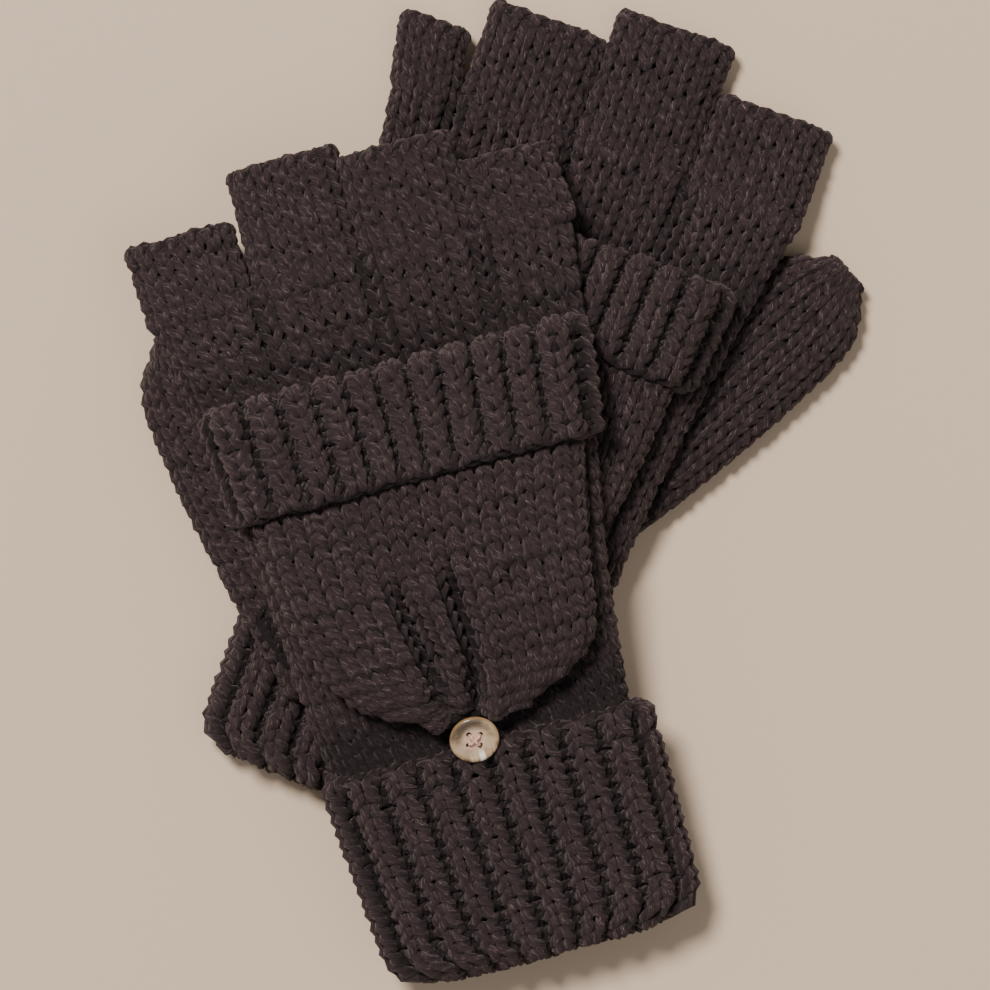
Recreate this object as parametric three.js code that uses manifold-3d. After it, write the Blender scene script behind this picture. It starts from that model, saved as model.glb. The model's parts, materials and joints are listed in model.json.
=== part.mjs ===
// Convertible flip-top mittens: a pair of knitted half-finger gloves laid one over the other, each
// with a hood that folds back over the hand and is held by a loop and a button on the wrist.
// Millimetres, +Z up. In a mitten's own frame the middle of the cuff's lower edge is the origin,
// +Y runs to the fingertips and -X is the thumb's side.
import * as THREE from "three";
import Module from "manifold-3d";
import { mergeVertices } from "three/addons/utils/BufferGeometryUtils.js";

const wasm = await Module();
wasm.setup();

// Knitted walls
const wall = 1.8; // one layer of knitting
const hollow = 5.4; // clear height inside a flattened tube
const gap = 0.4; // clearance between two layers of one mitten
const hoodGap = 1.0; // clearance under the folded hood, which lies loosely
const pairGap = 0.6; // clearance between pieces that lie on one another
const faceGap = 0.35; // clearance between pieces that meet end to end
const tube = hollow + 2 * wall;

// Cuff
const cuffHeight = 53.6;
const cuffBottom = { left: -43.5, right: 43.3 };
const cuffTop = { left: -48.5, right: 43.4 };
const foldInset = 1.2; // the inner layer stops this far above the folded edge

// Hand, from the wrist to the finger roots: share of its length, thumb side, little-finger side
const handLength = 141;
const handEdges = [
  [0, -46.0, 39.2],
  [0.15, -49.2, 41.3],
  [0.3, -49.6, 43.2],
  [0.5, -52.6, 48.8],
  [0.75, -57.6, 55.4],
  [1, -63.6, 59.6],
];
const wristY = cuffHeight + faceGap;
const knuckleY = wristY + handLength;
const wristRise = 30; // length over which the wrist comes down from inside the cuff

// Fingers
const fingerNames = ["index", "middle", "ring", "little"];
const stubWall = 1.7;

// Hood: share of its length from the tip to the mouth, thumb side, little-finger side, height share
const hoodLength = 100;
const hoodEdges = [
  [0, -14.0, 12.0, 0.8],
  [0.022, -24.0, 23.0, 0.86],
  [0.065, -31.5, 30.5, 0.95],
  [0.135, -38.8, 35.8, 1],
  [0.33, -46.0, 39.0, 1],
  [0.5, -48.4, 42.0, 1],
  [0.66, -49.3, 46.6, 1],
  [1, -52.6, 51.6, 1],
];
const rimDepth = 33.5;
const rimThick = 2.6;
const rimGap = 0.6;
const rimFold = 1.3; // rounding of the rim's folded edge
const hoodRound = 0.135; // the share of the hood's length over which its tip rounds off
const seam = { depth: 2.6, topDepth: 1.56, height: 1.3, inset: 7, gap: 0.7 };

// Button, loop and thread
const button = {
  radius: 7,
  thick: 2.6,
  lip: 1.3,
  dish: 0.7,
  tilt: THREE.MathUtils.degToRad(25),
  x: -5.1,
  aboveCuff: 3.6,
  holeRadius: 0.75,
  holeOffset: 2.3,
  dishRadius: 2.45, // the dish's flat floor
};
// The button's edge from its back to its lip: lips in from the rim, and half thicknesses up
const buttonEdge = [
  [1.5, -1],
  [0.32, -0.45],
  [0, 0.25],
  [0.4, 0.85],
  [1, 1],
];
const dishSlope = { lips: 2, share: 0.7 }; // where the dish's side meets its floor's slope
const holeTurn = Math.PI / 6; // turn of the four holes about the button's axis
const buttonGap = 0.8;
const shank = { radius: 1, gap: 0.3 };
const thread = 0.5; // half thickness of the thread over the button
const threadGap = 0.15;
const loop = { wire: 0.8, halfWidth: 2.8 };

// Thumb, along its own axis from the root: distance, half width
const thumbLength = 104;
const thumbEdges = [
  [0, 13],
  [0.25, 15.5],
  [0.6, 17],
  [0.85, 16.2],
  [0.94, 13.2],
  [0.985, 8.5],
  [1, 4.5],
];
const thumbRound = 0.8; // the share of the length at which the tip starts to round off
const thumbHole = { along: 17, halfWidth: 9, halfLength: 11 };

// How each mitten lies: its place on the table, its turn, and what differs between the two
const mittens = [
  {
    side: "left",
    place: [-39.2, -83.4],
    turn: THREE.MathUtils.degToRad(-20),
    mirror: -1,
    cuffSlope: 0,
    thumb: { root: [-31, 92], lean: THREE.MathUtils.degToRad(28) },
    fingers: [
      { left: -62.4, right: -30.5, reach: 22, lean: 0 },
      { left: -28.3, right: 4.4, reach: 35, lean: 0 },
      { left: 6.4, right: 38.8, reach: 25, lean: 0 },
      { left: 41, right: 59.4, reach: 14, lean: 3 },
    ],
  },
  {
    side: "right",
    place: [14, -121.8],
    turn: THREE.MathUtils.degToRad(15),
    mirror: 1,
    cuffSlope: 0.17,
    thumb: { root: [-36.5, 84], lean: THREE.MathUtils.degToRad(10.5) },
    fingers: [
      { left: -63.2, right: -33.8, reach: 16, lean: -1 },
      { left: -31.4, right: -1.4, reach: 29.5, lean: 0.5 },
      { left: 0.4, right: 30.6, reach: 25, lean: 0 },
      { left: 32.6, right: 59.2, reach: 15, lean: -1.5 },
    ],
  },
];

// Fineness of the meshes
const arcSteps = 4;
const handSteps = 8;
const thumbSteps = 4;
const stubSteps = 3;
const station = 12;
const slimmest = 0.5; // least half width of a tube's flat part
const buttonSides = 28;
const holeSides = 10;
const shankSides = 12;
const weld = 1e-4;

const colours = {
  knit: { color: 0x40383a, roughness: 0.95, metalness: 0 },
  rib: { color: 0x3b3335, roughness: 0.95, metalness: 0 },
  thread: { color: 0x2b2526, roughness: 0.85, metalness: 0 },
  horn: { color: 0xd9c19c, roughness: 0.35, metalness: 0 },
};

// ---- solids from rings ----

// A row of numbers read at one place, straight between the listed rows.
function between(rows, share) {
  const next = Math.max(1, rows.findIndex((row) => row[0] >= share));
  const [a, b] = [rows[next - 1], rows[next]];
  const t = (share - a[0]) / (b[0] - a[0]);
  return a.slice(1).map((value, k) => THREE.MathUtils.lerp(value, b[k + 1], t));
}

// Places from one end to another, no further apart than a station.
function placesAlong(from, to, step = station) {
  const spans = Math.max(1, Math.ceil((to - from) / step));
  return Array.from({ length: spans + 1 }, (_, k) => from + ((to - from) * k) / spans);
}

// A flattened tube's section at y: two flats joined by half rounds.
function section(y, left, right, low, high, steps) {
  const half = (high - low) / 2;
  const edge = Math.min(half, (right - left) / 2 - slimmest);
  const middle = (low + high) / 2;
  const ring = [];
  for (const [x, side] of [[right - edge, 1], [left + edge, -1]]) {
    for (let k = 0; k <= arcSteps; k++) {
      const angle = Math.PI * (k / arcSteps - 0.5);
      const px = x + side * edge * Math.cos(angle);
      ring.push(new THREE.Vector3(px, y, middle + side * half * Math.sin(angle)));
    }
    for (let k = 1; k < steps; k++) {
      const from = side > 0 ? right - edge : left + edge;
      const to = side > 0 ? left + edge : right - edge;
      const px = THREE.MathUtils.lerp(from, to, k / steps);
      ring.push(new THREE.Vector3(px, y, side > 0 ? high : low));
    }
  }
  return ring;
}

// A geometry from shared points and faces, turned so that its faces point out.
function solid(points, faces) {
  let volume = 0;
  for (let k = 0; k < faces.length; k += 3) {
    const [a, b, c] = [points[faces[k]], points[faces[k + 1]], points[faces[k + 2]]];
    volume += a.dot(new THREE.Vector3().crossVectors(b, c));
  }
  const index = volume < 0 ? faces.slice().reverse() : faces;
  const geometry = new THREE.BufferGeometry().setFromPoints(points);
  geometry.setIndex(index);
  return geometry;
}

// One closed surface through rings with equal counts of points. A closed row of rings joins its
// last ring to its first; an open one is capped at both ends.
function skin(rings, closed = false) {
  const count = rings[0].length;
  const faces = [];
  const spans = closed ? rings.length : rings.length - 1;
  for (let k = 0; k < spans; k++) {
    const a = k * count;
    const b = ((k + 1) % rings.length) * count;
    for (let i = 0; i < count; i++) {
      const j = (i + 1) % count;
      faces.push(a + i, a + j, b + j, a + i, b + j, b + i);
    }
  }
  if (!closed) {
    const last = (rings.length - 1) * count;
    for (const [ring, start, forward] of [[rings[0], 0, false], [rings.at(-1), last, true]]) {
      const flat = ring.map((point) => new THREE.Vector2(point.x, point.z));
      for (const triangle of THREE.ShapeUtils.triangulateShape(flat, [])) {
        const [p, q, r] = triangle.sort((m, n) => m - n).map((corner) => start + corner);
        faces.push(...(forward ? [p, q, r] : [r, q, p]));
      }
    }
  }
  return solid(rings.flat(), faces);
}

// A tube open at both ends, and a pocket with a closed end at the first place.
function openTube(places, outer, inner) {
  return skin([...places.map(outer), ...places.slice().reverse().map(inner)], true);
}

function pocket(places, outer, inner, endWall) {
  const [tip, ...rest] = places;
  const inside = [tip + endWall, ...rest.filter((y) => y > tip + endWall)];
  return skin([...places.map(outer), ...inside.reverse().map(inner)]);
}

// ---- joins and cuts ----

function toManifold(geometry) {
  const bare = geometry.clone();
  bare.deleteAttribute("normal");
  bare.deleteAttribute("uv");
  const merged = mergeVertices(bare, weld);
  return new wasm.Manifold(
    new wasm.Mesh({
      numProp: 3,
      vertProperties: new Float32Array(merged.attributes.position.array),
      triVerts: new Uint32Array(merged.index.array),
    }),
  );
}

function fromManifold(body) {
  const mesh = body.getMesh();
  const geometry = new THREE.BufferGeometry();
  geometry.setAttribute("position", new THREE.BufferAttribute(mesh.vertProperties, 3));
  geometry.setIndex(new THREE.BufferAttribute(mesh.triVerts, 1));
  return geometry;
}

function cut(geometry, ...cutters) {
  return fromManifold(cutters.reduce((body, c) => body.subtract(toManifold(c)), toManifold(geometry)));
}

function join(...geometries) {
  return fromManifold(geometries.map(toManifold).reduce((body, next) => body.add(next)));
}

// ---- the pile: how high things already lie, on a square grid over the table ----

const cell = 2;
const cells = 200;
const spread = 10; // a layer stays up this far past the edge of what it lies on
const droop = 0.36; // then falls with this slope
const easings = 12; // rounds of smoothing
const heights = new Float32Array(cells * cells);

const toCell = (value) => value / cell + cells / 2;

// Adds a placed solid's top to the pile.
function layDown(geometry, matrix) {
  const points = geometry.attributes.position;
  const corner = (k) => new THREE.Vector3().fromBufferAttribute(points, k).applyMatrix4(matrix);
  const index = geometry.index.array;
  for (let k = 0; k < index.length; k += 3) {
    const [a, b, c] = [corner(index[k]), corner(index[k + 1]), corner(index[k + 2])];
    const area = (b.x - a.x) * (c.y - a.y) - (c.x - a.x) * (b.y - a.y);
    if (area <= 0) continue;
    const xs = [a.x, b.x, c.x].map(toCell);
    const ys = [a.y, b.y, c.y].map(toCell);
    for (let i = Math.floor(Math.min(...xs)); i <= Math.ceil(Math.max(...xs)); i++) {
      for (let j = Math.floor(Math.min(...ys)); j <= Math.ceil(Math.max(...ys)); j++) {
        const [x, y] = [(i - cells / 2) * cell, (j - cells / 2) * cell];
        const u = ((x - a.x) * (c.y - a.y) - (c.x - a.x) * (y - a.y)) / area;
        const v = ((b.x - a.x) * (y - a.y) - (x - a.x) * (b.y - a.y)) / area;
        if (u < 0 || v < 0 || u + v > 1) continue;
        const z = a.z + u * (b.z - a.z) + v * (c.z - a.z);
        heights[j * cells + i] = Math.max(heights[j * cells + i], z);
      }
    }
  }
}

// The pile's height at one place, as the highest of the cells round it.
function pileAt(x, y) {
  const [i, j] = [toCell(x), toCell(y)].map(Math.floor);
  return Math.max(...[0, 1, cells, cells + 1].map((step) => heights[j * cells + i + step]));
}

// The surface that the next layer lies on: the pile widened, sloped down to the table and eased.
function settled() {
  const reach = Math.ceil(spread / cell);
  const wide = heights.slice();
  const each = (act) => {
    for (let j = reach; j < cells - reach; j++) for (let i = reach; i < cells - reach; i++) act(i, j);
  };
  each((i, j) => {
    for (let dj = -reach; dj <= reach; dj++) {
      for (let di = -reach; di <= reach; di++) {
        if (Math.hypot(di, dj) * cell > spread) continue;
        const here = j * cells + i;
        wide[here] = Math.max(wide[here], heights[here + dj * cells + di]);
      }
    }
  });
  const falls = [[1, 0], [0, 1], [1, 1], [-1, 1]];
  for (const way of [1, -1, 1, -1]) {
    for (let k = 0; k < cells * cells; k++) {
      const here = way > 0 ? k : cells * cells - 1 - k;
      for (const [di, dj] of falls) {
        const other = here - way * (dj * cells + di);
        if (other < 0 || other >= cells * cells) continue;
        wide[here] = Math.max(wide[here], wide[other] - droop * cell * Math.hypot(di, dj));
      }
    }
  }
  let eased = wide;
  for (let pass = 0; pass < easings; pass++) {
    const source = eased;
    eased = source.slice();
    each((i, j) => {
      const here = j * cells + i;
      let sum = 0;
      for (const row of [here - cells, here, here + cells]) {
        for (const di of [-1, 0, 1]) sum += source[row + di];
      }
      eased[here] = sum / 9;
    });
  }
  return (x, y) => {
    const [u, v] = [toCell(x), toCell(y)];
    const [i, j] = [Math.floor(u), Math.floor(v)];
    const at = (di, dj) => eased[(j + dj) * cells + i + di];
    const low = THREE.MathUtils.lerp(at(0, 0), at(1, 0), u - i);
    const high = THREE.MathUtils.lerp(at(0, 1), at(1, 1), u - i);
    return THREE.MathUtils.lerp(low, high, v - j);
  };
}

// Shifts each point of a geometry up by what lies under it.
function drape(geometry, lift) {
  const points = geometry.attributes.position;
  for (let k = 0; k < points.count; k++) {
    points.setZ(k, points.getZ(k) + lift(points.getX(k), points.getY(k)));
  }
  return geometry;
}

// ---- pieces, flat in a right mitten's own frame ----

const cuffEdges = (y) => {
  const t = y / cuffHeight;
  const left = THREE.MathUtils.lerp(cuffBottom.left, cuffTop.left, t);
  return [left, THREE.MathUtils.lerp(cuffBottom.right, cuffTop.right, t)];
};

function handShell() {
  const at = (inset) => (y) => {
    const [left, right] = between(handEdges, (y - wristY) / handLength);
    return section(y, left + inset, right - inset, inset, tube - inset, handSteps);
  };
  return openTube(placesAlong(wristY, knuckleY), at(0), at(wall));
}

function cuffInner() {
  const at = (inset) => (y) => {
    const [left, right] = cuffEdges(y);
    const side = wall + gap + inset;
    return section(y, left + side, right - side, inset, tube - inset, handSteps);
  };
  return openTube(placesAlong(foldInset, cuffHeight - faceGap), at(0), at(wall));
}

function cuffTurnback() {
  const at = (inset) => (y) => {
    const [left, right] = cuffEdges(y);
    const out = wall + gap - inset;
    return section(y, left + inset, right - inset, -out, tube + out, handSteps);
  };
  return openTube(placesAlong(0, cuffHeight), at(0), at(wall));
}

function fingerStub({ left, right, reach, lean }) {
  const start = knuckleY + faceGap;
  const at = (inset) => (y) => {
    const shift = (lean * (y - start)) / reach;
    return section(y, left + shift + inset, right + shift - inset, inset, tube - inset, stubSteps);
  };
  return openTube(placesAlong(start, knuckleY + reach), at(0), at(stubWall));
}

// The thumb lies along -Y from its root, so that its closed tip comes first.
function thumbSleeve() {
  const at = (inset) => (y) => {
    const [half] = between(thumbEdges, -y / thumbLength);
    return section(y, inset - half, half - inset, inset, tube - inset, thumbSteps);
  };
  const rounds = thumbEdges.map(([share]) => share).filter((share) => share > thumbRound);
  const tip = rounds.reverse().map((share) => -share * thumbLength);
  return pocket([...tip, ...placesAlong(-thumbRound * thumbLength, 0)], at(0), at(wall), wall);
}

const buttonY = cuffHeight + button.aboveCuff;
const buttonReach = button.radius * Math.cos(button.tilt) + (button.thick / 2) * Math.sin(button.tilt);
const hoodTipY = buttonY + buttonReach + buttonGap;
const hoodMouthY = hoodTipY + hoodLength;
const hoodLow = tube + hoodGap;

const hoodSection = (y, inset) => {
  const [left, right, share] = between(hoodEdges, (y - hoodTipY) / hoodLength);
  const high = hoodLow + tube * share;
  return section(y, left + inset, right - inset, hoodLow + inset, high - inset, handSteps);
};

function hoodPocket() {
  const rounds = hoodEdges.map(([share]) => share).filter((share) => share < hoodRound);
  const tip = rounds.map((share) => hoodTipY + share * hoodLength);
  const places = [...tip, ...placesAlong(hoodTipY + hoodRound * hoodLength, hoodMouthY)];
  return pocket(places, (y) => hoodSection(y, 0), (y) => hoodSection(y, wall), wall);
}

// The turned-back rim: a strip over the hood's upper side that curls round both edges.
function hoodRim() {
  const half = tube / 2;
  const middle = hoodLow + half;
  const strip = (y, low, high) => {
    const [left, right] = between(hoodEdges, (y - hoodTipY) / hoodLength);
    const upper = (out) => {
      const row = [];
      for (let k = 0; k < arcSteps; k++) {
        const angle = (Math.PI / 2) * (k / arcSteps);
        const reach = (half + out) * Math.cos(angle);
        row.push(new THREE.Vector3(right - half + reach, y, middle + (half + out) * Math.sin(angle)));
      }
      for (let k = 0; k <= handSteps; k++) {
        const x = THREE.MathUtils.lerp(right - half, left + half, k / handSteps);
        row.push(new THREE.Vector3(x, y, middle + half + out));
      }
      for (let k = arcSteps - 1; k >= 0; k--) {
        const angle = (Math.PI / 2) * (k / arcSteps);
        const reach = (half + out) * Math.cos(angle);
        row.push(new THREE.Vector3(left + half - reach, y, middle + (half + out) * Math.sin(angle)));
      }
      return row;
    };
    return [...upper(high), ...upper(low).reverse()];
  };
  const [low, high] = [rimGap, rimGap + rimThick];
  const edge = rimFold / 2;
  const start = hoodMouthY - rimDepth;
  return skin([
    strip(start, low, high - edge),
    ...placesAlong(start + edge, hoodMouthY - rimFold).map((y) => strip(y, low, high)),
    strip(hoodMouthY, low, high - rimFold),
  ]);
}

// The stitched ridge that holds the hood to the back of the hand, just past the hood's mouth.
function hoodSeam() {
  const [left, right] = between(handEdges, (hoodMouthY - wristY) / handLength);
  const y = hoodMouthY + seam.depth;
  const [half, top] = [seam.depth / 2, seam.topDepth / 2];
  const low = tube + seam.gap;
  const high = low + seam.height;
  const profile = [[y - half, low], [y + half, low], [y + top, high], [y - top, high]];
  const rings = placesAlong(left + seam.inset, right - seam.inset).map((x) =>
    profile.map(([py, z]) => new THREE.Vector3(py, -x, z)),
  );
  return skin(rings).rotateZ(Math.PI / 2);
}

// ---- button, thread and loop ----

function lathe(profile, segments) {
  const points = profile.map(([r, z]) => new THREE.Vector2(r, z));
  return new THREE.LatheGeometry(points, segments).rotateX(Math.PI / 2);
}

function buttonDisc() {
  const { radius, thick, lip, dish, dishRadius, holeRadius, holeOffset } = button;
  const half = thick / 2;
  const edge = buttonEdge.map(([lips, height]) => [radius - lips * lip, height * half]);
  const slope = [radius - dishSlope.lips * lip, half - dishSlope.share * dish];
  const floor = half - dish;
  const blank = lathe([[0, -half], ...edge, slope, [dishRadius, floor], [0, floor]], buttonSides);
  const holes = [0, 1, 2, 3].map((k) => {
    const angle = (k * Math.PI) / 2 + holeTurn;
    const hole = lathe([[0, -thick], [holeRadius, -thick], [holeRadius, thick], [0, thick]], holeSides);
    return hole.translate(holeOffset * Math.cos(angle), holeOffset * Math.sin(angle), 0);
  });
  return cut(blank, ...holes);
}

// Two crossed stitches over the button's dish.
function buttonStitches() {
  const { thick, dish, holeOffset } = button;
  const bars = [0, 1].map((k) => {
    const bar = new THREE.CapsuleGeometry(thread, 2 * holeOffset, 3, 8);
    return bar.rotateZ((k * Math.PI) / 2 + holeTurn - Math.PI / 2);
  });
  return join(...bars).translate(0, 0, thick / 2 - dish + thread + threadGap);
}

function buttonShank(bottom, top) {
  return lathe([[0, bottom], [shank.radius, bottom], [shank.radius, top], [0, top]], shankSides);
}

// A cord ring round the shank, long enough to reach the hood's tip.
function buttonLoop() {
  const low = buttonY - shank.radius - gap - loop.wire;
  const high = hoodTipY - faceGap - loop.wire;
  const [middle, halfLength] = [(low + high) / 2, (high - low) / 2];
  const steps = 20;
  const sides = 8;
  const rings = Array.from({ length: steps }, (_, k) => {
    const angle = (2 * Math.PI * k) / steps;
    const out = new THREE.Vector3(Math.cos(angle), Math.sin(angle), 0);
    const at = new THREE.Vector3(button.x + out.x * loop.halfWidth, middle + out.y * halfLength, 0);
    return Array.from({ length: sides }, (_, m) => {
      const turn = (2 * Math.PI * m) / sides;
      const side = out.clone().multiplyScalar(loop.wire * Math.cos(turn));
      return at.clone().add(side).setZ(tube + gap + loop.wire * (1 + Math.sin(turn)));
    });
  });
  return skin(rings, true);
}

// An upright oval that cuts the thumb hole.
function ovalCutter(x, y, turn, low, high) {
  const { halfWidth, halfLength } = thumbHole;
  const sides = 16;
  const rings = [low, high].map((level) =>
    Array.from({ length: sides }, (_, k) => {
      const angle = (2 * Math.PI * k) / sides;
      return new THREE.Vector3(halfWidth * Math.cos(angle), level, halfLength * Math.sin(angle));
    }),
  );
  return skin(rings).rotateX(Math.PI / 2).rotateZ(turn).translate(x, y, 0);
}

// ---- laying the pair ----

// A left mitten is a right one seen in a mirror.
function mirrored(geometry, mirror) {
  if (mirror > 0) return geometry;
  geometry.scale(-1, 1, 1);
  geometry.index.array.reverse();
  return geometry;
}

// Adds one mitten to the pair: first its thumb, then its body over the thumb.
function layMitten({ side, place, turn, mirror, cuffSlope, thumb, fingers }) {
  const mitten = new THREE.Group();
  mitten.position.set(...place, 0);
  mitten.rotation.z = turn;
  mitten.updateMatrixWorld();

  const add = (name, geometry, colour) => {
    const mesh = new THREE.Mesh(geometry, new THREE.MeshStandardMaterial(colours[colour]));
    mesh.name = `${side}_${name}`;
    mitten.add(mesh);
    return mesh;
  };
  const overPile = () => {
    const surface = settled();
    return (x, y) => {
      const point = new THREE.Vector3(x, y, 0).applyMatrix4(mitten.matrixWorld);
      const height = surface(point.x, point.y);
      return height > 0 ? height + pairGap : 0;
    };
  };
  const lying = (geometry, lift) => drape(mirrored(geometry, mirror), lift);

  const underThumb = overPile();
  const swing = new THREE.Matrix4().makeRotationZ(Math.PI + thumb.lean).setPosition(...thumb.root, 0);
  const sleeve = lying(thumbSleeve().applyMatrix4(swing), underThumb);
  layDown(sleeve, mitten.matrixWorld);

  // The stiff cuff lies on one plane; from the wrist on, the knitting follows what is under it.
  const underBody = overPile();
  const grid = placesAlong(0, wristY, cell).flatMap((y) =>
    placesAlong(cuffTop.left, cuffTop.right, cell).map((x) => {
      const point = new THREE.Vector3(mirror * x, y, 0).applyMatrix4(mitten.matrixWorld);
      const height = pileAt(point.x, point.y);
      return height > 0 ? height + pairGap - cuffSlope * y : 0;
    }),
  );
  const cuffRise = Math.max(...grid);
  const lift = (x, y) => {
    const eased = THREE.MathUtils.smoothstep(y, wristY + faceGap, wristY + wristRise);
    const plane = cuffRise + cuffSlope * y;
    const ground = THREE.MathUtils.lerp(plane, underBody(x, y), eased);
    return (eased > 0 ? Math.max(ground, underBody(x, y)) : plane) + (wall + gap) * (1 - eased);
  };

  const holeX = thumb.root[0] - thumbHole.along * Math.sin(thumb.lean);
  const holeY = thumb.root[1] + thumbHole.along * Math.cos(thumb.lean);
  const hole = (low, high, under) => lying(ovalCutter(holeX, holeY, thumb.lean, low, high), under);
  const hand = cut(lying(handShell(), lift), hole(-tube, tube / 2, lift));
  add("thumb_sleeve", cut(sleeve, hole(tube / 2, 2 * tube, underThumb)), "knit");
  add("hand_shell", hand, "knit");
  fingers.forEach((finger, k) => add(`${fingerNames[k]}_stub`, lying(fingerStub(finger), lift), "knit"));
  add("cuff_inner", lying(cuffInner(), lift), "rib");
  add("cuff_turnback", lying(cuffTurnback(), lift), "rib");
  add("hood_pocket", lying(hoodPocket(), lift), "knit");
  add("hood_rim_band", lying(hoodRim(), lift), "rib");
  add("hood_seam", lying(hoodSeam(), lift), "thread");
  add("button_loop", lying(buttonLoop(), lift), "thread");

  // The button leans with its low edge on the cuff and its high edge over the hood's tip.
  const { radius, thick, tilt } = button;
  const lowEdge = radius * Math.sin(tilt) + (thick / 2) * Math.cos(tilt);
  const middle = tube + wall + 2 * gap + lowEdge;
  const shankTop = middle - thick / 2 / Math.cos(tilt) - shank.radius * Math.tan(tilt) - shank.gap;
  const buttonX = mirror * button.x;
  const onWrist = lift(buttonX, buttonY);
  const leaning = (mesh) => {
    mesh.position.set(buttonX, buttonY, onWrist + middle);
    mesh.rotation.x = tilt;
  };
  leaning(add("button", mirrored(buttonDisc(), mirror), "horn"));
  leaning(add("button_stitches", buttonStitches(), "thread"));
  const post = add("button_shank", buttonShank(tube + gap, shankTop), "thread");
  post.position.set(buttonX, buttonY, onWrist);

  mitten.updateMatrixWorld();
  for (const mesh of mitten.children) layDown(mesh.geometry, mesh.matrixWorld);
  return mitten;
}

const pair = new THREE.Group();
for (const mitten of mittens) pair.add(layMitten(mitten));

// The origin is the middle of the pair's underside.
const bounds = new THREE.Box3().setFromObject(pair, true);
pair.position.set(-(bounds.min.x + bounds.max.x) / 2, -(bounds.min.y + bounds.max.y) / 2, -bounds.min.z);
pair.updateMatrixWorld();

export default pair;
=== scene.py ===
import json
import math

import bpy
import numpy as np
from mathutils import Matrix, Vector


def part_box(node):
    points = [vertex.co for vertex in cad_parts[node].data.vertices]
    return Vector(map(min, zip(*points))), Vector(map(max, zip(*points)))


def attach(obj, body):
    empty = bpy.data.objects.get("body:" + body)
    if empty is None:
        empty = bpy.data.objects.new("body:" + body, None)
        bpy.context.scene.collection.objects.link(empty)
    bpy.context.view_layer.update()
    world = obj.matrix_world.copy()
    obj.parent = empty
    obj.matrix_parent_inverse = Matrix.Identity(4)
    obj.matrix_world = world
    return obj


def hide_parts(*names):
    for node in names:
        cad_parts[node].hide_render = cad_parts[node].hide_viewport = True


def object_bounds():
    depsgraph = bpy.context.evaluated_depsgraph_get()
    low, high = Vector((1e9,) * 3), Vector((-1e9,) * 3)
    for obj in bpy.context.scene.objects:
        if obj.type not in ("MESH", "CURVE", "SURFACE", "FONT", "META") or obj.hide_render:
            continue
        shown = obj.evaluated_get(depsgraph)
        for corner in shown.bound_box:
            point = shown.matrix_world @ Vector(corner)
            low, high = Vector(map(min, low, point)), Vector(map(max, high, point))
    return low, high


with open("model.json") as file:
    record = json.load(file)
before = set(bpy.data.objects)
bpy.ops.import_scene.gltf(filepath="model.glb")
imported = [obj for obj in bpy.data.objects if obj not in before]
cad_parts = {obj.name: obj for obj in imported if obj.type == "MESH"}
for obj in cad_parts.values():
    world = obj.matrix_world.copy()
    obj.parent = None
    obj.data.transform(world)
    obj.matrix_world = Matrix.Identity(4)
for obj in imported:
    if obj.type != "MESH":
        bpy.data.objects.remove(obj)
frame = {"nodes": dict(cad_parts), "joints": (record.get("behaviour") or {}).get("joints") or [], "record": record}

# Convertible flip-top mittens in chunky knitting. Lengths are in millimetres until a mesh is made.
MM = 0.001
CAD_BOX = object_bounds()
SIDES = ("left", "right")
JOINTS = {joint["name"]: joint for joint in frame["joints"]}
BODY_OF = {node: body for body, nodes in frame["record"]["behaviour"]["bodies"].items() for node in nodes}

# Gauge of the knitting
WALE = 5.2  # width of one stitch
COURSE = 4.0  # height of one row
YARN = 1.45  # yarn radius
STITCH_STEPS = 10  # points along the yarn in one stitch
YARN_FACES = 6  # sides of the yarn
LOOP_HEIGHT = 1.62  # height of a loop, in rows
LOOP_LEAN = 0.25  # how far the legs of a loop lean, in stitch widths
LOOP_DEPTH = 0.9  # how far the yarn weaves in front of and behind the fabric
SINK = 1.0  # how deep the middle of the fabric lies under the CAD surface
WALE_RELIEF = 0.6  # how far the middle of a column of stitches stands over its edges
WALE_PAINTED_SHADE = (1.2, 0.2)  # painted shade: the yarn is darker between two columns: by how much, and how far

# Ribbing
RIB_WALE = 5.1
RIB_COURSE = 3.55
RIB_YARN = 1.6
RIB_RELIEF = 2.6  # height of the raised columns, and depth of the sunken ones
RIB_SPREAD = 0.22  # how much wider the raised columns are than the sunken ones
RIB_SINK = 0.9
RIB_PAINTED_SHADE = (4.0, 0.36)  # painted shade: the yarn is darker in the sunken columns: by how much, and how far
TURN_OVER = 0.125  # the share of a stitch, at each end, in which the rib's yarn changes sides

# How unevenly the knitting is worked
UNEVEN_LEAN = 0.12
UNEVEN_HEIGHT = 0.07
UNEVEN_ROW = 0.08  # in rows
UNEVEN_DEPTH = 0.12  # in mm
ROW_WAVE = (0.12, 3, 0.37)  # the rows wave by so many rows, so often round a tube, shifted row by row

# Surfaces read from the CAD
AROUND = 160  # samples round a tube
STATION = 1.5  # spacing of the sections along a tube
FEWEST_STATIONS = 6
HOLE_GIRTH = 1.35  # a section this much longer than the rest has a hole in it
END_GAP = 0.4  # the knitting starts and stops this far inside the solid
EASE_AROUND = 2.0  # smoothing, in samples
EASE_ALONG = 2.4
WALL = 0.9  # thickness of the dark wall under the yarn; its dark colour is painted shade, seen between the yarns
WALL_DEPTH = 1.9  # how deep its outer face lies

# How much further the loose knitting spreads than its solid: at the thumb's edge, at the other edge,
# and at the end
SPREAD_OUT = {
    "left_thumb_sleeve": (1.0, 0.8, 0.0),
    "right_thumb_sleeve": (3.0, 2.6, 1.5),
    "left_hood_pocket": (-4.0, 0.0, 0.0),
    "left_cuff_turnback": (0.0, 2.6, 0.0),
    "right_cuff_turnback": (0.0, 0.0, 4.0),
}
PRESS = 1.3 * MM  # the knitting bulges at most this far below the lowest place of the solid

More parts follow.
